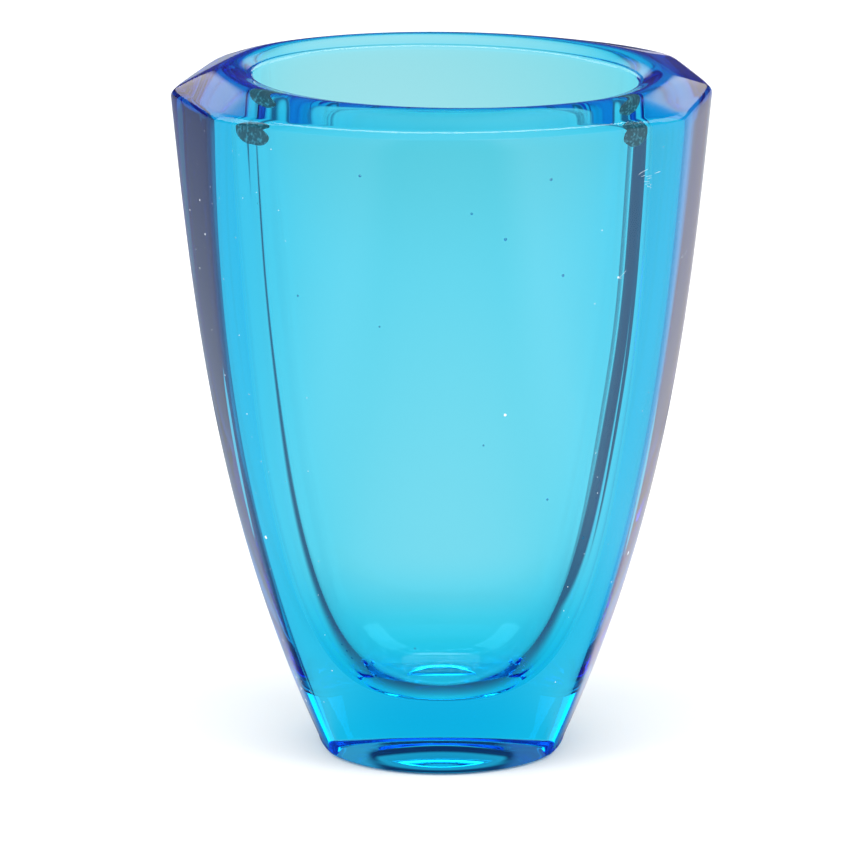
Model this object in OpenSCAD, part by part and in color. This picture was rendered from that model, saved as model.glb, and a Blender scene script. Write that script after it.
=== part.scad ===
// Heavy glass vase, one solid piece of clear coloured glass.
// Broad curved front and back faces meet two narrow cut faces at each side,
// and the cut faces meet in a blunt vertical line at the far left and right.
// The wall flares from a small oval foot to a thick rim with a soft ridge.
// An oval well tapers to a rounded floor above the solid foot.
// The origin is the centre of the foot on the table, with the broad face to -Y.

/* [Body] */
// Overall height, table to the ridge of the rim
vase_h = 152.8; // [100:0.1:240]
// Width over the two pointed sides at the rim
rim_w = 113.8; // [80:0.1:180]
// Depth over the broad faces at the rim
rim_d = 60.8; // [44:0.1:100]
// Width of the foot
foot_w = 52.6; // [40:0.1:80]
// Depth of the foot
foot_d = 39.5; // [30:0.1:60]
// How much of the flare is curved, the rest rises in a straight line
swell_share = 0.576; // [0:0.001:1]
// How early the curved part of the flare swells out
swell_power = 2.883; // [1.5:0.001:4]

/* [Cut faces] */
// Where the cut faces start at the rim, as shares of the half width: back right, left, front left, right
rim_cut_x_shares = [0.86, 0.83, 0.83, 0.89]; // [0.75:0.01:0.95]
// Where the cut faces start, as a share of the half width, at the foot
foot_cut_x_share = 0.9; // [0.75:0.01:0.95]
// How far out the same corner lies, as a share of the half depth, at the rim
rim_cut_y_share = 0.594; // [0.4:0.001:0.7]
// How far out the same corner lies, as a share of the half depth, at the foot
foot_cut_y_share = 0.5; // [0.4:0.001:0.7]
// How fast the corner moves inward on the way up
cut_power = 3; // [1:0.1:5]
// Crispness of the lines between the faces
edge_power = 80; // [16:1:120]

/* [Rim] */
// Drop from the ridge of the rim to its outer edge
outer_drop = 3.2; // [1:0.1:6]
// Drop from the ridge of the rim to the opening
inner_drop = 1.9; // [0.2:0.1:3]
// Where the ridge lies, as a share of the way in from the outer edge
ridge_share = 0.66; // [0.4:0.01:0.9]
// Softness of the ridge
ridge_soft = 0.7; // [0.1:0.01:1]
// Rounding of the outer edge
edge_r = 2; // [0.5:0.1:3]
// Rounding of the edge of the opening
lip_r = 1; // [0.5:0.1:3]
// How far the outer edge sinks at the pointed sides: left, right
tip_drops = [1.4, 0.6]; // [0:0.1:3]

/* [Well] */
// Width of the opening
opening_w = 80.8; // [50:0.1:120]
// Depth of the opening, front to back
opening_d = 37; // [30:0.1:60]
// How far the opening lies to the right of the foot
opening_shift = 0.85; // [0:0.05:3]
// How far the opening is turned, in degrees
opening_turn = -4; // [-8:0.5:8]
// Thickness of glass under the well
floor_t = 14; // [8:0.1:30]
// Roundness of the well floor
floor_power = 1.62; // [1.2:0.01:3]
// How straight the well wall stands above its floor
wall_power = 0.294; // [0.2:0.001:0.6]
// Depth of the well against its width at the floor, front to back
floor_oval_share = 0.66; // [0.45:0.01:0.8]
// How soon above the floor the well takes the oval of the opening
oval_power = 0.6; // [0.3:0.01:1.5]

/* [Foot] */
// Width of the ground hollow under the foot
hollow_w = 25.5; // [14:0.1:28]
// Rise of the hollow at its centre
hollow_h = 1.9; // [0.5:0.1:4]
// Rounding where the foot meets the wall
foot_r = 0.9; // [0.3:0.1:2]

/* [Hidden] */

// Points across one cut face, across half a broad face and around the whole vase
cut_count = 9;
face_count = 15;
quarter_count = cut_count + face_count;
side_count = 4 * quarter_count;

hollow_rings = 4;
foot_rings = 4;
wall_rings = 16;
edge_rings = 4;
rim_rings = 12;
lip_rings = 4;
well_rings = 16;

// Size of the small flat centres of the hollow and the well floor
centre_share = 0.02;
// Closer rings toward the well floor
well_step_power = 2.2;
// Tilt at which the rounded outer edge runs out into the slope of the rim
edge_turn = 66;
// Where the sinking of the pointed sides starts, as a share of the half width
sink_start_share = 0.6;
sink_power = 1.5;
// How quickly the wall below the rim follows that sinking
wall_sink_power = 6;

// Drop of the rim from its ridge, q from 0 at its outer to 1 at its inner side
function crown_drop(q) =
    q < ridge_share
    ? outer_drop * (1 - q / ridge_share)
    : inner_drop * (q - ridge_share) / (1 - ridge_share);

// Height of the rim's upper face, rounded over at the ridge
function crown(q) = vase_h + ridge_soft - norm([ridge_soft, crown_drop(q)]);

edge_z = crown(0) - edge_r * sin(edge_turn);
lip_z = crown(1) - lip_r;

// Flare from the foot, 0 at the table to 1 at the outer edge of the rim
function flare(t) = swell_share * (1 - pow(1 - t, swell_power)) + (1 - swell_share) * t;
function half_w(t) = (foot_w + (rim_w - foot_w) * flare(t)) / 2;
function half_d(t) = (foot_d + (rim_d - foot_d) * flare(t)) / 2;

// Corner between a broad face and cut face number f, as shares of the half sizes
function cut_x(t, f) = foot_cut_x_share + (rim_cut_x_shares[f] - foot_cut_x_share) * pow(t, cut_power);
function cut_y(t) = foot_cut_y_share + (rim_cut_y_share - foot_cut_y_share) * t;

// Angle of point j of a quarter, 0 at the pointed side, so that one point falls on the corner
function quarter_angle(j, t, f) =
    let (corner = atan2(cut_y(t), cut_x(t, f)))
    j < cut_count ? corner * j / cut_count : corner + (90 - corner) * (j - cut_count) / face_count;

// Angle of point i of the whole ring, the quarters mirrored in turn
function plan_angle(i, t) =
    let (f = floor(i / quarter_count), j = i - f * quarter_count)
    f % 2 == 0 ? 90 * f + quarter_angle(j, t, f) : 90 * (f + 1) - quarter_angle(quarter_count - j, t, f);

// Distance from the axis to an oval in the direction (c, s)
function oval_reach(c, s, w, d) = 1 / norm([c / w, s / d]);

// The blunt line at each side is made up again here
tip_gain = pow(2, 1 / edge_power);

// Distance from the axis to cut face f in the direction (c, s)
function cut_reach(c, s, w, d, t, f) = 1 / (abs(c) / w + abs(s) * (1 - cut_x(t, f)) / (cut_y(t) * d));

// Distance from the axis to a broad face, an oval that runs through the corners
function face_reach(c, s, w, d, t, f) = oval_reach(c, s, w * cut_x(t, f) / sqrt(1 - pow(cut_y(t), 2)), d);

// The three limits together, with softened lines where they meet
function cut_plan_reach(c, s, w, d, t, f) = pow(
    pow(face_reach(c, s, w, d, t, f), -edge_power)
    + pow(cut_reach(c, s, w * tip_gain, d, t, f), -edge_power)
    + pow(w * tip_gain, -edge_power),
    -1 / edge_power);

// How far a point at x sinks, from 0 to 1, toward the pointed sides
function sink(x) =
    let (out_share = (abs(x) / (rim_w / 2) - sink_start_share) / (1 - sink_start_share))
    pow(min(max(out_share, 0), 1), sink_power);

// One ring of points: w, d half sizes, z height, t part of the way up the wall,
// k share of the cut plan, the rest oval, m share of the opening's shift and turn, n share of the sinking
function ring(w, d, z, t, k, m, n) = [
    for (i = [0 : side_count - 1])
        let (
            f = floor(i / quarter_count),
            a = plan_angle(i, t),
            l = norm([w * cos(a), d * sin(a)]),
            c = w * cos(a) / l,
            s = d * sin(a) / l,
            r = (1 - k) * oval_reach(c, s, w, d) + k * cut_plan_reach(c, s, w, d, t, f),
            x = r * c,
            y = r * s,
            turn = opening_turn * m,
            drop = tip_drops[x < 0 ? 0 : 1] * n * sink(x)
        )
        [x * cos(turn) - y * sin(turn) + opening_shift * m, x * sin(turn) + y * cos(turn), z - drop]
];

// Hollow under the foot, from its centre out to the standing edge
hollow = [
    for (i = [0 : hollow_rings])
        let (q = max(i / hollow_rings, centre_share))
        ring(hollow_w / 2 * q, hollow_w / 2 * q, hollow_h * (1 - q * q), 0, 0, 0, 0)
];

// Rounded edge of the foot
foot = [
    for (i = [0 : foot_rings])
        let (a = 90 * i / foot_rings, in = foot_r * (1 - sin(a)))
        ring(half_w(0) - in, half_d(0) - in, foot_r * (1 - cos(a)), 0, i / foot_rings, 0, 0)
];

// Outer wall, up to where the rim starts to round over
wall = [
    for (i = [1 : wall_rings])
        let (t = i / wall_rings, z = foot_r + (edge_z - foot_r) * t)
        ring(half_w(t), half_d(t), z, t, 1, 0, pow(t, wall_sink_power))
];

// Rounded outer edge of the rim
edge = [
    for (i = [1 : edge_rings])
        let (a = edge_turn * i / edge_rings, in = edge_r * (1 - cos(a)))
        ring(rim_w / 2 - in, rim_d / 2 - in, edge_z + edge_r * sin(a), 1, 1, 0, 1)
];

crown_in = edge_r * (1 - cos(edge_turn));
crown_w0 = rim_w / 2 - crown_in;
crown_d0 = rim_d / 2 - crown_in;
crown_w1 = opening_w / 2 + lip_r;
crown_d1 = opening_d / 2 + lip_r;

// Upper face of the rim, cut plan outside and oval inside
upper = [
    for (i = [1 : rim_rings])
        let (
            q = i / rim_rings,
            w = crown_w0 + (crown_w1 - crown_w0) * q,
            d = crown_d0 + (crown_d1 - crown_d0) * q
        )
        ring(w, d, crown(q), 1, 1 - q, q, 1 - q)
];

// Rounded edge of the opening
lip = [
    for (i = [1 : lip_rings])
        let (a = 90 * i / lip_rings, in = lip_r * sin(a))
        ring(crown_w1 - in, crown_d1 - in, lip_z + lip_r * cos(a), 1, 0, 1, 0)
];

// Width of the well as a share of the opening, u from 0 at its floor to 1 at the lip
function well_share(u) = pow(1 - pow(1 - u, floor_power), wall_power);

// Depth of the well against its width, rounder at the floor than at the opening
function well_oval(u) = floor_oval_share + (opening_d / opening_w - floor_oval_share) * pow(u, oval_power);

well = [
    for (i = [1 : well_rings])
        let (
            u = pow(1 - i / well_rings, well_step_power),
            w = opening_w / 2 * max(well_share(u), centre_share)
        )
        ring(w, w * well_oval(u), floor_t + (lip_z - floor_t) * u, 1, 0, u, 0)
];

rings = concat(hollow, foot, wall, edge, upper, lip, well);
ring_total = len(rings);

skin = concat(
    [[for (j = [0 : side_count - 1]) j]],
    [
        for (i = [0 : ring_total - 2], j = [0 : side_count - 1])
            let (n = (j + 1) % side_count)
            [i * side_count + j, (i + 1) * side_count + j, (i + 1) * side_count + n, i * side_count + n]
    ],
    [[for (j = [side_count - 1 : -1 : 0]) (ring_total - 1) * side_count + j]]
);

module glass_body() {
    color("deepskyblue")
        polyhedron(points = [for (r = rings) each r], faces = skin, convexity = 6);
}

glass_body();
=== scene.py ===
import math
import random

import bpy
import numpy as np
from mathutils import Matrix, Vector
from mathutils.bvhtree import BVHTree


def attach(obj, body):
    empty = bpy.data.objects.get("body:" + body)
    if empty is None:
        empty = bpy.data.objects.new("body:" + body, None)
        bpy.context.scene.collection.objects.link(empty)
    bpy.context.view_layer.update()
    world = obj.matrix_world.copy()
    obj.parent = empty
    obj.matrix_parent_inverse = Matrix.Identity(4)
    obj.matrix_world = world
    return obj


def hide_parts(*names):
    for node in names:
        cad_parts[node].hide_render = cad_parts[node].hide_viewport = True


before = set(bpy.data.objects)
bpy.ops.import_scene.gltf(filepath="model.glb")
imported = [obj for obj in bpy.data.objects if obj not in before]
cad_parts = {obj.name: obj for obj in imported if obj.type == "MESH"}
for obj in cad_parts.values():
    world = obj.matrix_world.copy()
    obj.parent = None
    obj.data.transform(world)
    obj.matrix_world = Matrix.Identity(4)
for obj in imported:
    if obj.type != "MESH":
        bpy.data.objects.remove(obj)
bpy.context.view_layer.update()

MM = 0.001

# Sizes in millimetres, the same as in the CAD source
VASE_H = 152.8
RIM_W = 113.8
RIM_D = 60.8
FOOT_W = 52.6
FOOT_D = 39.5
SWELL_SHARE = 0.576
SWELL_POWER = 2.883
RIM_CUT_X_SHARES = (0.86, 0.83, 0.83, 0.89)
FOOT_CUT_X_SHARE = 0.9
RIM_CUT_Y_SHARE = 0.594
FOOT_CUT_Y_SHARE = 0.5
CUT_POWER = 3
EDGE_POWER = 80
OUTER_DROP = 3.2
INNER_DROP = 1.9
RIDGE_SHARE = 0.66
RIDGE_SOFT = 0.7
EDGE_R = 2.0
EDGE_TURN = math.radians(66)
LIP_R = 1.0
TIP_DROPS = (1.4, 0.6)
SINK_START_SHARE = 0.6
SINK_POWER = 1.5
WALL_SINK_POWER = 6
OPENING_W = 80.8
OPENING_D = 37.0
OPENING_SHIFT = 0.85
OPENING_TURN = math.radians(-4)
FLOOR_T = 14.0
FLOOR_POWER = 1.62
WALL_POWER = 0.294
FLOOR_OVAL_SHARE = 0.66
OVAL_POWER = 0.6
WELL_STEP_POWER = 2.2
HOLLOW_W = 25.5
HOLLOW_H = 1.9
FOOT_R = 0.9
CENTRE_SHARE = 0.02

# Shares that place the points of a ring: closer at the corners and at the pointed sides
EVEN_SHARE = 0.2
BROAD_CLOSENESS = 1.6

# Slight waves round and up the well wall, each its count round, start, climb and size
UNEVENNESS = 0.003
WAVES = ((2, 0.7, 5, 1.0), (3, 2.1, -9, 0.7), (5, 0.0, 14, 0.5))

# Points across a cut face and across half a broad face, and rings in each stretch of the profile
CUT_COUNT = 30
FACE_COUNT = 50
HOLLOW_RINGS = 10
FOOT_RINGS = 6
WALL_RINGS = 56
EDGE_RINGS = 7
RIM_RINGS = 40
LIP_RINGS = 7
WELL_RINGS = 64


# Outline of the glass


def crown(q):
    """Height of the rim's upper face, q from 0 at its outer to 1 at its inner side."""
    if q < RIDGE_SHARE:
        slope = OUTER_DROP * (1 - q / RIDGE_SHARE)
    else:
        slope = INNER_DROP * (q - RIDGE_SHARE) / (1 - RIDGE_SHARE)
    return VASE_H + RIDGE_SOFT - math.hypot(RIDGE_SOFT, slope)


EDGE_Z = crown(0) - EDGE_R * math.sin(EDGE_TURN)
LIP_Z = crown(1) - LIP_R


def half_sizes(t):
    """Half width and half depth of the outer wall, t from 0 at the foot to 1 at the rim."""
    flare = SWELL_SHARE * (1 - (1 - t) ** SWELL_POWER) + (1 - SWELL_SHARE) * t
    return (FOOT_W + (RIM_W - FOOT_W) * flare) / 2, (FOOT_D + (RIM_D - FOOT_D) * flare) / 2


def corner_shares(t):
    """Where each of the four corners between broad and cut faces lies, as shares of the half sizes."""
    rim = np.array(RIM_CUT_X_SHARES)
    cut_x = FOOT_CUT_X_SHARE + (rim - FOOT_CUT_X_SHARE) * t**CUT_POWER
    cut_y = FOOT_CUT_Y_SHARE + (RIM_CUT_Y_SHARE - FOOT_CUT_Y_SHARE) * t
    return cut_x, cut_y


def plan_angles(t):
    """Angles round the whole ring, closer together at the corners and at the pointed sides."""
    cut_x, cut_y = corner_shares(t)
    u = np.arange(CUT_COUNT) / CUT_COUNT
    v = np.arange(FACE_COUNT + 1) / FACE_COUNT
    near_ends = EVEN_SHARE * u + (1 - EVEN_SHARE) / 2 * (1 - np.cos(np.pi * u))
    angles = []
    faces = []
    for face in range(4):
        corner = math.atan2(cut_y, cut_x[face])
        quarter = np.concatenate([corner * near_ends, corner + (math.pi / 2 - corner) * v**BROAD_CLOSENESS])
        if face % 2 == 0:
            angles.append(quarter[:-1] + face * math.pi / 2)
        else:
            angles.append((face + 1) * math.pi / 2 - quarter[:0:-1])
        faces.append(np.full(CUT_COUNT + FACE_COUNT, face))
    return np.concatenate(angles), np.concatenate(faces)


def oval_reach(c, s, w, d):
    return 1 / np.hypot(c / w, s / d)


def cut_plan_reach(c, s, w, d, t, face):
    """Distance from the axis to the nearest of broad face, cut face and blunt side line."""
    cut_x, cut_y = corner_shares(t)
    cut_x = cut_x[face]
    blunt = w * 2 ** (1 / EDGE_POWER)
    broad = oval_reach(c, s, w * cut_x / math.sqrt(1 - cut_y**2), d)
    cut = 1 / (np.abs(c) / blunt + np.abs(s) * (1 - cut_x) / (cut_y * d))
    nearest = np.minimum(np.minimum(broad, cut), blunt)
    total = sum((limit / nearest) ** -EDGE_POWER for limit in (broad, cut, blunt))
    return nearest * total ** (-1 / EDGE_POWER)


def ring(w, d, z, t, cut, well, sinking):
    """One ring of points with half sizes w and d, as in the CAD source."""
    a, face = plan_angles(t)
    c = w * np.cos(a)
    s = d * np.sin(a)
    length = np.hypot(c, s)
    c, s = c / length, s / length
    reach = (1 - cut) * oval_reach(c, s, w, d)
    if cut:
        reach = reach + cut * cut_plan_reach(c, s, w, d, t, face)
    x, y = reach * c, reach * s
    outward = (np.abs(x) / (RIM_W / 2) - SINK_START_SHARE) / (1 - SINK_START_SHARE)
    sink = np.clip(outward, 0, 1) ** SINK_POWER
    drop = np.where(x < 0, TIP_DROPS[0], TIP_DROPS[1]) * sinking * sink
    turn = OPENING_TURN * well
    return np.stack(
        [
            x * math.cos(turn) - y * math.sin(turn) + OPENING_SHIFT * well,
            x * math.sin(turn) + y * math.cos(turn),
            z - drop,
        ],
        axis=1,
    )


def well_ring(u):
    """Ring of the well wall, u from 0 at the floor to 1 at the lip."""
    w = OPENING_W / 2 * max((1 - (1 - u) ** FLOOR_POWER) ** WALL_POWER, CENTRE_SHARE)
    d = w * (FLOOR_OVAL_SHARE + (OPENING_D / OPENING_W - FLOOR_OVAL_SHARE) * u**OVAL_POWER)
    points = ring(w, d, FLOOR_T + (LIP_Z - FLOOR_T) * u, 1, 0, u, 0)
    turn = np.arctan2(points[:, 1] * OPENING_W / OPENING_D, points[:, 0])
    wave = sum(size * np.sin(count * turn + start + climb * u) for count, start, climb, size in WAVES)
    points[:, :2] *= 1 + UNEVENNESS * math.sin(math.pi * u) * wave[:, None]
    return points


def glass_rings():
    """All rings from the centre of the hollow under the foot, round the rim, to the well floor."""
    rings = []
    for i in range(HOLLOW_RINGS + 1):
        q = max(i / HOLLOW_RINGS, CENTRE_SHARE)
        rings.append(ring(HOLLOW_W / 2 * q, HOLLOW_W / 2 * q, HOLLOW_H * (1 - q * q), 0, 0, 0, 0))
    foot_w, foot_d = half_sizes(0)
    for i in range(FOOT_RINGS + 1):
        a = math.pi / 2 * i / FOOT_RINGS
        inward = FOOT_R * (1 - math.sin(a))
        z = FOOT_R * (1 - math.cos(a))
        rings.append(ring(foot_w - inward, foot_d - inward, z, 0, i / FOOT_RINGS, 0, 0))
    for i in range(1, WALL_RINGS + 1):
        t = i / WALL_RINGS
        z = FOOT_R + (EDGE_Z - FOOT_R) * t
        rings.append(ring(*half_sizes(t), z, t, 1, 0, t**WALL_SINK_POWER))
    for i in range(1, EDGE_RINGS + 1):
        a = EDGE_TURN * i / EDGE_RINGS
        inward = EDGE_R * (1 - math.cos(a))
        z = EDGE_Z + EDGE_R * math.sin(a)
        rings.append(ring(RIM_W / 2 - inward, RIM_D / 2 - inward, z, 1, 1, 0, 1))
    outer_w, outer_d = RIM_W / 2 - inward, RIM_D / 2 - inward
    inner_w, inner_d = OPENING_W / 2 + LIP_R, OPENING_D / 2 + LIP_R
    for i in range(1, RIM_RINGS + 1):
        q = i / RIM_RINGS
        w, d = outer_w + (inner_w - outer_w) * q, outer_d + (inner_d - outer_d) * q
        rings.append(ring(w, d, crown(q), 1, 1 - q, q, 1 - q))
    for i in range(1, LIP_RINGS + 1):
        a = math.pi / 2 * i / LIP_RINGS
        inward = LIP_R * math.sin(a)
        z = LIP_Z + LIP_R * math.cos(a)
        rings.append(ring(inner_w - inward, inner_d - inward, z, 1, 0, 1, 0))
    for i in range(1, WELL_RINGS + 1):
        rings.append(well_ring((1 - i / WELL_RINGS) ** WELL_STEP_POWER))
    return rings


def glass_skin():
    """Points and faces of the vase without bubbles."""
    rings = glass_rings()
    around = len(rings[0])
    points = (np.concatenate(rings) * MM).tolist()
    faces = [tuple(range(around - 1, -1, -1))]
    for i in range(len(rings) - 1):
        for j in range(around):
            n = (j + 1) % around
            faces.append((i * around + j, i * around + n, (i + 1) * around + n, (i + 1) * around + j))
    last = (len(rings) - 1) * around
    faces.append(tuple(range(last, last + around)))
    return points, faces


def new_mesh(name, points, faces):
    mesh = bpy.data.meshes.new(name)
    mesh.from_pydata(points, [], faces)
    mesh.update()
    return mesh


# Small bubbles in the front wall, each its x and z, how far through the wall it lies, and its radius
SEEDS = (
    (-16.7, 138.9, 0.4, 0.3),
    (22.5, 137.7, 0.5, 0.32),
    (6.2, 130.5, 0.6, 0.28),
    (13.2, 125.0, 0.4, 0.34),
    (25.0, 115.7, 0.5, 0.3),
    (8.7, 77.8, 0.5, 0.22),
    (-12.8, 105.3, 0.3, 0.2),
    (-29.6, 110.7, 0.3, 0.24),
    (21.8, 63.9, 0.6, 0.26),
    (-5.5, 30.2, 0.3, 0.2),
    (17.0, 24.5, 0.4, 0.2),
)
# Chips and specks on the outside, each its x and z and its radius
SPECKS = (
    (13.4, 85.7, 0.42),
    (-37.2, 53.0, 0.45),
    (39.7, 46.3, 0.6),
    (-33.8, 26.2, 0.4),
    (-30.9, 17.4, 0.45),
    (-29.9, 15.0, 0.55),
    (-28.9, 12.2, 0.5),
    (-30.2, 13.2, 0.3),
    (-50.7, 127.6, 0.22),
    (-52.9, 123.2, 0.2),
    (-49.6, 120.4, 0.28),
    (-50.9, 110.9, 0.24),
    (-48.4, 98.0, 0.2),
    (-45.6, 89.4, 0.18),
    (37.0, 115.1, 0.25),
)
# Bunches of fine scratches, each its x and z, how many, how widely spread and how long
SCRATCHES = (
    (43.1, 136.8, 9, 2.4, 1.5),
    (38.0, 115.5, 4, 1.6, 1.4),
    (50.4, 115.0, 3, 0.8, 2.4),
    (-30.0, 16.0, 6, 2.0, 1.2),
)
SCRATCH_TILT = 0.7
SCRATCH_LENGTHS = (0.2, 0.5)
SCRATCH_WIDTHS = (0.018, 0.032)
SPECK_CORNERS = 7
SPECK_REACH = (0.6, 1.1)
# Dust lies nearer the pointed sides, twice as often at the left
DUST_COUNT = 60
DUST_SIDES = (-1, -1, 1)
DUST_Z = (12, 146)
DUST_ASIDE = (0.55, 0.97)
DUST_RADIUS = (0.07, 0.15)
MARK_LIFT = 0.02
# Grey speckled patches at both ends of the well, each its side, y and z, half width and half height
END_PATCHES = ((-1, -3.8, 143.0, 3.7, 2.7), (1, -8.0, 143.4, 2.5, 2.3))
PATCH_DEPTH = 0.06
PATCH_CENTRE = 0.04
PATCH_UNEVEN = 0.16
PATCH_WAVES = (2, 3, 7)


def ball(centre, radius, first, across=6, around=10):
    """Points and faces of a small ball, its faces looking inward, as a bubble in glass has them."""
    points = [(centre[0], centre[1], centre[2] + radius)]
    for i in range(1, across):
        tilt = math.pi * i / across
        for j in range(around):
            turn = 2 * math.pi * j / around
            reach = radius * math.sin(tilt)
            points.append(
                (
                    centre[0] + reach * math.cos(turn),
                    centre[1] + reach * math.sin(turn),
                    centre[2] + radius * math.cos(tilt),
                )
            )
    points.append((centre[0], centre[1], centre[2] - radius))
    last = first + len(points) - 1
    faces = []
    for j in range(around):
        n = (j + 1) % around
        faces.append((first, first + 1 + n, first + 1 + j))
        for i in range(across - 2):
            upper, lower = first + 1 + i * around, first + 1 + (i + 1) * around
            faces.append((upper + j, upper + n, lower + n, lower + j))
        bottom = first + 1 + (across - 2) * around
        faces.append((bottom + j, bottom + n, last))
    return points, faces


def glass_with_seeds(name):
    """The glass, with small bubbles between its outer face and the well, and a tree of its plain surface."""
    points, faces = glass_skin()
    surface = BVHTree.FromPolygons(points, faces)
    for x, z, share, radius in SEEDS:
        start = surface.ray_cast(Vector((x * MM, -1, z * MM)), Vector((0, 1, 0)))[0]
        end = surface.ray_cast(start + Vector((0, MM, 0)), Vector((0, 1, 0)))[0]
        more_points, more_faces = ball(start.lerp(end, share), radius * MM, len(points))
        points += more_points
        faces += more_faces
    mesh = new_mesh(name, points, faces)
    mesh.polygons.foreach_set("use_smooth", [True] * len(mesh.polygons))
    return mesh, surface


def flat_mark(place, normal, outline):
    """Points of a flat mark just above the surface; outline holds pairs across and along it."""
    along = normal.cross(Vector((1, 0, 0))).normalized()
    across = along.cross(normal)
    base = place + normal * MARK_LIFT * MM
    return [tuple(base + (across * a + along * b) * MM) for a, b in outline]


def marks_mesh(name, surface, chance):
    """Specks, chips, scratches and dust on the outside of the glass."""
    points = []
    faces = []

    def add(x, z, outline):
        place, normal, _, _ = surface.ray_cast(Vector((x * MM, -1, z * MM)), Vector((0, 1, 0)))
        if place is not None:
            faces.append(tuple(range(len(points), len(points) + len(outline))))
            points.extend(flat_mark(place, normal, outline))

    def speck(x, z, radius):
        turns = [2 * math.pi * i / SPECK_CORNERS for i in range(SPECK_CORNERS)]
        reach = [radius * chance.uniform(*SPECK_REACH) for _ in turns]
        add(x, z, [(r * math.cos(a), r * math.sin(a)) for r, a in zip(reach, turns)])

    for x, z, radius in SPECKS:
        speck(x, z, radius)
    for _ in range(DUST_COUNT):
        side = chance.choice(DUST_SIDES)
        z = chance.uniform(*DUST_Z)
        x = side * chance.uniform(*DUST_ASIDE) * half_sizes(z / VASE_H)[0]
        speck(x, z, chance.uniform(*DUST_RADIUS))
    for x, z, count, spread, length in SCRATCHES:
        for _ in range(count):
            a = chance.uniform(-SCRATCH_TILT, SCRATCH_TILT)
            long, wide = length * chance.uniform(*SCRATCH_LENGTHS), chance.uniform(*SCRATCH_WIDTHS)
            c, s = math.cos(a), math.sin(a)
            corners = ((-long, -wide), (long, -wide), (long, wide), (-long, wide))
            outline = [(c * u - s * v, s * u + c * v) for u, v in corners]
            add(x + chance.gauss(0, spread / 2), z + chance.gauss(0, spread / 2), outline)
    return new_mesh(name, points, faces)


def end_patch_mesh(name, surface, chance, across=7, around=36):
    """Two thin grey patches at the ends of the well, a little inside the glass surface."""
    points = []
    faces = []
    for side, y, z, half_w, half_h in END_PATCHES:
        phases = [chance.uniform(0, 2 * math.pi) for _ in PATCH_WAVES]
        first = len(points)
        for i in range(across + 1):
            for j in range(around):
                a = 2 * math.pi * j / around
                uneven = sum(math.sin(n * a + phase) / n for n, phase in zip(PATCH_WAVES, phases))
                r = (PATCH_CENTRE + (1 - PATCH_CENTRE) * i / across) * (1 + PATCH_UNEVEN * uneven)
                start = Vector((0, (y + half_w * r * math.cos(a)) * MM, (z + half_h * r * math.sin(a)) * MM))
                place = surface.ray_cast(start, Vector((side, 0, 0)))[0]
                points.append((place.x + side * PATCH_DEPTH * MM, place.y, place.z))
        for i in range(across):
            for j in range(around):
                n = (j + 1) % around
                inner, outer = first + i * around, first + (i + 1) * around
                faces.append((inner + j, inner + n, outer + n, outer + j))
        faces.append(tuple(range(first, first + around)))
    return new_mesh(name, points, faces)


def new_object(name, mesh):
    obj = bpy.data.objects.new(name, mesh)
    bpy.context.scene.collection.objects.link(obj)
    return obj


class Graph:
    """The node tree of a material or of the world, with short calls for the nodes used most."""

    def __init__(self, tree):
        tree.nodes.clear()
        self.new = tree.nodes.new
        self.link = tree.links.new

    def value(self, operation, *terms):
        """One math node; numbers are set on its sockets, anything else is linked."""
        node = self.new("ShaderNodeMath")
        node.operation = operation
        for socket, term in zip(node.inputs, terms):
            if isinstance(term, (int, float)):
                socket.default_value = term
            else:
                self.link(term, socket)
        return node.outputs[0]

    def fade(self, source, start, end):
        """Smooth step of a value, 0 at start and 1 at end."""
        node = self.new("ShaderNodeMapRange")
        node.interpolation_type = "SMOOTHSTEP"
        node.inputs["From Min"].default_value = start
        node.inputs["From Max"].default_value = end
        self.link(source, node.inputs["Value"])
        return node.outputs["Result"]

    def blend(self, share, first, second):
        """Mix of two colours, each a triple or a socket."""
        node = self.new("ShaderNodeMix")
        node.data_type = "RGBA"
        self.link(share, node.inputs[0])
        for socket, colour in ((node.inputs[6], first), (node.inputs[7], second)):
            if isinstance(colour, tuple):
                socket.default_value = (*colour, 1)
            else:
                self.link(colour, socket)
        return node.outputs[2]

    def mix(self, share, first, second, out):
        """Mix of two shaders that ends in the surface of the output."""
        node = self.new("ShaderNodeMixShader")
        for socket, source in zip(node.inputs, (share, first, second)):
            self.link(source, socket)
        self.link(node.outputs[0], out.inputs["Surface"])


# Materials of the vase

GLASS_IOR = 1.5
GLASS_TINT = (0.05, 0.862, 0.97)
GLASS_DENSITY = 100

# Dark and light colour, scale of the spots and roughness
CHIPPED_GLASS = ((0.8, 0.88, 0.92), (0.97, 0.98, 0.98), 900, 0.7)
PATCH_MATTER = ((0.55, 0.24, 0.23), (0.95, 0.77, 0.75), 1300, 0.9)
SPOT_DETAIL = 4
SPOT_EDGE = (0.48, 0.7)


def new_material(name):
    material = bpy.data.materials.new(name)
    material.use_nodes = True
    graph = Graph(material.node_tree)
    return material, graph, graph.new("ShaderNodeOutputMaterial")


def glass_material():
    material, graph, out = new_material("blue_glass")
    shader = graph.new("ShaderNodeBsdfPrincipled")
    shader.inputs["Base Color"].default_value = (1, 1, 1, 1)
    shader.inputs["Transmission Weight"].default_value = 1
    shader.inputs["Roughness"].default_value = 0
    shader.inputs["IOR"].default_value = GLASS_IOR
    graph.link(shader.outputs["BSDF"], out.inputs["Surface"])
    inside = graph.new("ShaderNodeVolumeAbsorption")
    inside.inputs["Color"].default_value = (*GLASS_TINT, 1)
    inside.inputs["Density"].default_value = GLASS_DENSITY
    graph.link(inside.outputs["Volume"], out.inputs["Volume"])
    return material


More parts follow.
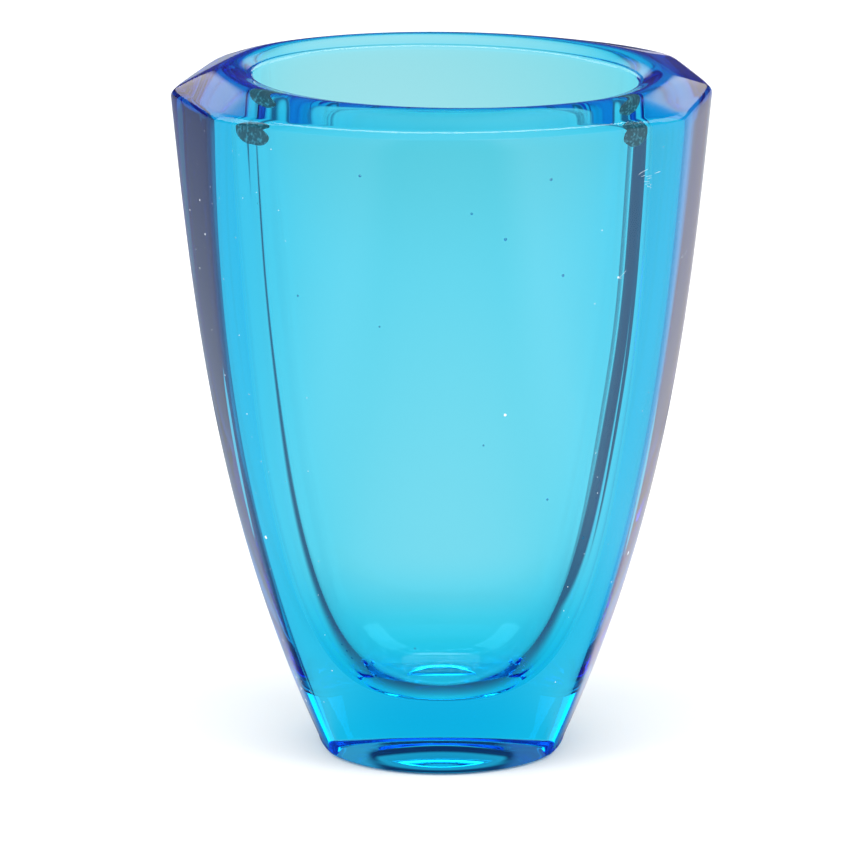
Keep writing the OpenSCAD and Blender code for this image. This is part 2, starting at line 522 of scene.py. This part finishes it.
def matte_material(name, dark, light, scale, rough):
    """Matte colour that varies in small spots."""
    material, graph, out = new_material(name)
    shader = graph.new("ShaderNodeBsdfPrincipled")
    shader.inputs["Roughness"].default_value = rough
    coordinate = graph.new("ShaderNodeTexCoord")
    spots = graph.new("ShaderNodeTexNoise")
    spots.inputs["Scale"].default_value = scale
    spots.inputs["Detail"].default_value = SPOT_DETAIL
    graph.link(coordinate.outputs["Object"], spots.inputs["Vector"])
    share = graph.fade(spots.outputs[0], *SPOT_EDGE)
    graph.link(graph.blend(share, dark, light), shader.inputs["Base Color"])
    graph.link(shader.outputs["BSDF"], out.inputs["Surface"])
    return material


# The vase

chance = random.Random(7)
vase_mesh, vase_surface = glass_with_seeds("vase_glass")
glass = new_object("vase_glass", vase_mesh)
glass.data.materials.append(glass_material())
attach(glass, "root")
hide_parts("glass_body")

marks = new_object("specks_and_scratches", marks_mesh("specks_and_scratches", vase_surface, chance))
marks.data.materials.append(matte_material("chipped_glass", *CHIPPED_GLASS))
# Grey speckled patches just inside the glass at both ends of the well
grey_patch = new_object("grey_end_patches", end_patch_mesh("grey_end_patches", vase_surface, chance))
grey_patch.data.materials.append(matte_material("grey_patch", *PATCH_MATTER))
for piece in (marks, grey_patch):
    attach(piece, "root")


# The floor, plain and white to the camera and to the lamps

FLOOR_SIZE = 4.0
FLOOR_DROP = 0.0002
FLOOR_WHITE = 0.9

# The floor as seen through the glass: a painted shadow of the vase near the foot, blue as if cast through
# the glass, paper round it, warmer paper far back, duller paper in front, and a dark table past the ends of
# the paper
# Painted shadow of the vase on the floor near the foot, blue as if cast through the glass
PAINTED_FOOT_SHADOW = (0.15, 0.85, 0.94)
NEAR_PAPER = (0.97, 0.97, 0.98)
BACK_PAPER = (1.0, 0.9, 0.86)
FRONT_PAPER = (0.72, 0.72, 0.75)
FRONT_CORNERS = (0.6, 0.5, 0.34)
TABLE = (0.3, 0.16, 0.24)
# Lines at which the paper ends, each a slope and the x it starts from
BOTH_SIDES = (0.24, 0.042)
RIGHT_END = (1.2, 0.06)
PAPER_BLUR = 0.012
# Where each part of the floor fades in, from none of it to all of it, in metres
# The painted shadow near the foot gives way to paper between these distances from the axis
FOOT_SHADOW_REACH = (0.03, 0.11)
BACK_START = (0.3, 0.45)
FRONT_START = (-0.05, -0.12)
CORNER_START = (0.5, 0.7)
TABLE_START = (-0.045, -0.028)
TABLE_STOP = (0.34, 0.27)
FAR_TABLE_START = (0.9, 1.3)

# The floor as mirrored on the glass, dark in front of the vase and paler beside it
FRONT_MIRROR = (0.04, 0.04, 0.05)
LEFT_MIRROR = (0.62, 0.7, 0.74)
RIGHT_MIRROR = (1.05, 1.0, 0.95)
LEFT_TO_RIGHT = (-0.05, 0.05)
BESIDE_START = (0.06, 0.12)
NEAR_SIDE_START = (-0.01, 0.03)
NEAR_SIDE_STOP = (0.2, 0.12)


def paper_end(graph, distance, slope, start):
    """Depth at which the paper ends at this distance to the side."""
    return graph.value("MULTIPLY", graph.value("SUBTRACT", distance, start), slope)


def floor_through_glass(graph, place, x, y, aside):
    end = graph.value("MAXIMUM", paper_end(graph, aside, *BOTH_SIDES), paper_end(graph, x, *RIGHT_END))
    past_end = graph.fade(graph.value("SUBTRACT", end, y), -PAPER_BLUR, PAPER_BLUR)
    near_line = graph.value("SUBTRACT", y, graph.value("MULTIPLY", aside, BOTH_SIDES[0]))
    table = graph.value("MULTIPLY", past_end, graph.fade(near_line, *TABLE_START))
    table = graph.value("MULTIPLY", table, graph.fade(y, *TABLE_STOP))
    table = graph.value("MAXIMUM", table, graph.fade(y, *FAR_TABLE_START))
    from_foot = graph.new("ShaderNodeVectorMath")
    from_foot.operation = "LENGTH"
    graph.link(place, from_foot.inputs[0])
    # Painted shadow of the vase near the foot, fading into plain paper further out
    paper = graph.blend(graph.fade(from_foot.outputs["Value"], *FOOT_SHADOW_REACH), PAINTED_FOOT_SHADOW, NEAR_PAPER)
    paper = graph.blend(graph.fade(y, *BACK_START), paper, BACK_PAPER)
    front = graph.blend(graph.fade(aside, *CORNER_START), FRONT_PAPER, FRONT_CORNERS)
    paper = graph.blend(graph.fade(y, *FRONT_START), paper, front)
    return graph.blend(table, paper, TABLE)


def floor_on_glass(graph, x, y, aside):
    side = graph.blend(graph.fade(x, *LEFT_TO_RIGHT), LEFT_MIRROR, RIGHT_MIRROR)
    near_side = graph.value("MULTIPLY", graph.fade(y, *NEAR_SIDE_START), graph.fade(y, *NEAR_SIDE_STOP))
    beside = graph.value("MAXIMUM", graph.fade(aside, *BESIDE_START), near_side)
    return graph.blend(beside, FRONT_MIRROR, side)


def floor_material():
    material, graph, out = new_material("pale_floor")
    paper = graph.new("ShaderNodeBsdfDiffuse")
    paper.inputs["Color"].default_value = (FLOOR_WHITE, FLOOR_WHITE, FLOOR_WHITE, 1)
    place = graph.new("ShaderNodeNewGeometry").outputs["Position"]
    axes = graph.new("ShaderNodeSeparateXYZ")
    graph.link(place, axes.inputs[0])
    x, y = axes.outputs[0], axes.outputs[1]
    aside = graph.value("ABSOLUTE", x)
    seen = floor_through_glass(graph, place, x, y, aside)
    mirrored = floor_on_glass(graph, x, y, aside)
    light_path = graph.new("ShaderNodeLightPath")
    through = light_path.outputs["Is Transmission Ray"]
    glow = graph.new("ShaderNodeEmission")
    graph.link(graph.blend(through, mirrored, seen), glow.inputs["Color"])
    by_glass = graph.value("MAXIMUM", through, light_path.outputs["Is Glossy Ray"])
    graph.mix(by_glass, paper.outputs[0], glow.outputs[0], out)
    return material


def add_floor():
    half = FLOOR_SIZE / 2
    corners = [(-half, -half, 0), (half, -half, 0), (half, half, 0), (-half, half, 0)]
    mesh = new_mesh("floor", corners, [(0, 1, 2, 3)])
    floor = new_object("floor", mesh)
    floor.location.z = -FLOOR_DROP
    mesh.materials.append(floor_material())


# Lamps, each its name, place, width, height and power
LAMPS = (
    ("top_light", (0, -0.15, 1.1), 1.0, 0.3, 5),
    ("left_light", (-1.0, -0.3, 0.8), 0.7, 0.9, 6),
    ("right_light", (1.0, -0.3, 0.8), 0.7, 0.9, 6),
)
LAMP_TARGET = (0, 0, 0.07)


def add_lamp(name, place, width, height, power):
    light = bpy.data.lights.new(name, "AREA")
    light.shape = "RECTANGLE"
    light.size = width
    light.size_y = height
    light.energy = power
    lamp = new_object(name, light)
    lamp.location = place
    toward = Vector(LAMP_TARGET) - Vector(place)
    lamp.rotation_euler = toward.to_track_quat("-Z", "Y").to_euler()


# The room by direction, as seen through the glass
LOW_BACK = (0.95, 0.93, 0.9)
MIDDLE_BACK = (0.12, 0.05, 0.13)
LEFT_BACK = (0.8, 0.26, 0.48)
RIGHT_BACK = (0.8, 0.55, 0.68)
LEFT_FRONT = (0.49, 0.24, 0.26)
RIGHT_FRONT = (0.12, 0.11, 0.16)
HIGH_FRONT = (1.2, 0.8, 0.9)
CEILING = (0.6, 0.62, 0.68)
# The room as mirrored on the glass, and as it lights everything else
MIRROR_LOW = (0.12, 0.12, 0.15)
MIRROR_HIGH = (0.08, 0.08, 0.1)
SOFTBOX = (2.9, 2.7, 1.9)
AMBIENT = (0.9, 0.9, 0.9)
# Where each part of the room fades in, from none of it to all of it, along the direction's x, y or z
BEHIND_Y = (-0.1, 0.3)
LEFT_BACK_X = (-0.25, -0.4)
RIGHT_BACK_X = (0.25, 0.4)
RAISED_BACK_Z = (0.05, 0.15)
RIGHT_FRONT_X = (-0.1, 0.1)
HIGH_FRONT_Z = (0.22, 0.34)
CEILING_Z = (0.52, 0.68)
SOFTBOX_X = (0.2, 0.3)
SOFTBOX_Z = (0.25, 0.35)
MIRROR_HIGH_Z = (0.62, 0.85)


def set_world():
    world = bpy.data.worlds.new("surroundings")
    bpy.context.scene.world = world
    world.use_nodes = True
    graph = Graph(world.node_tree)
    out = graph.new("ShaderNodeOutputWorld")
    axes = graph.new("ShaderNodeSeparateXYZ")
    graph.link(graph.new("ShaderNodeTexCoord").outputs["Generated"], axes.inputs[0])
    x, y, z = axes.outputs
    behind = graph.fade(y, *BEHIND_Y)
    back = graph.blend(graph.fade(x, *LEFT_BACK_X), MIDDLE_BACK, LEFT_BACK)
    back = graph.blend(graph.fade(x, *RIGHT_BACK_X), back, RIGHT_BACK)
    back = graph.blend(graph.fade(z, *RAISED_BACK_Z), LOW_BACK, back)
    front = graph.blend(graph.fade(x, *RIGHT_FRONT_X), LEFT_FRONT, RIGHT_FRONT)
    front = graph.blend(graph.fade(z, *HIGH_FRONT_Z), front, HIGH_FRONT)
    seen = graph.blend(graph.fade(z, *CEILING_Z), graph.blend(behind, front, back), CEILING)
    aside = graph.value("ABSOLUTE", x)
    softbox = graph.value("MULTIPLY", graph.fade(aside, *SOFTBOX_X), graph.fade(z, *SOFTBOX_Z))
    mirror_back = graph.blend(softbox, MIRROR_LOW, SOFTBOX)
    mirror_back = graph.blend(graph.fade(z, *MIRROR_HIGH_Z), mirror_back, MIRROR_HIGH)
    mirrored = graph.blend(behind, MIRROR_HIGH, mirror_back)
    light_path = graph.new("ShaderNodeLightPath")
    through = light_path.outputs["Is Transmission Ray"]
    by_glass = graph.value("MAXIMUM", through, light_path.outputs["Is Glossy Ray"])
    room = graph.new("ShaderNodeBackground")
    graph.link(graph.blend(by_glass, AMBIENT, graph.blend(through, mirrored, seen)), room.inputs["Color"])
    white = graph.new("ShaderNodeBackground")
    white.inputs["Color"].default_value = (1, 1, 1, 1)
    graph.mix(light_path.outputs["Is Camera Ray"], room.outputs[0], white.outputs[0], out)


# The camera stands far off and looks down on the rim by about 21 degrees
CAMERA_Y = -2.427
CAMERA_Z = 1.0552
AIM_Z = 0.07
PIXEL_SIZE = 0.00021246
FRAME_PIXELS = 850
CENTRE_X_PIXEL = 441.4
CENTRE_Y_PIXEL = 435.76
SENSOR = 36
CLIP_END = 100


def add_camera():
    pitch = math.atan2(CAMERA_Z - AIM_Z, -CAMERA_Y)
    distance = math.hypot(CAMERA_Z - AIM_Z, CAMERA_Y)
    camera = bpy.data.cameras.new("camera")
    camera.sensor_width = SENSOR
    camera.lens = distance / PIXEL_SIZE / FRAME_PIXELS * SENSOR
    camera.shift_x = (FRAME_PIXELS / 2 - CENTRE_X_PIXEL) / FRAME_PIXELS
    camera.shift_y = (CENTRE_Y_PIXEL - FRAME_PIXELS / 2) / FRAME_PIXELS
    camera.clip_end = CLIP_END
    holder = new_object("camera", camera)
    holder.location = (0, CAMERA_Y, CAMERA_Z)
    holder.rotation_euler = (math.pi / 2 - pitch, 0, 0)
    bpy.context.scene.camera = holder


# Light is mirrored many times inside thick glass
BOUNCES = 24

add_floor()
for lamp in LAMPS:
    add_lamp(*lamp)
set_world()
add_camera()
bpy.context.scene.view_settings.view_transform = "Standard"
bpy.context.scene.cycles.max_bounces = BOUNCES
bpy.context.scene.cycles.glossy_bounces = BOUNCES
bpy.context.scene.cycles.transmission_bounces = BOUNCES
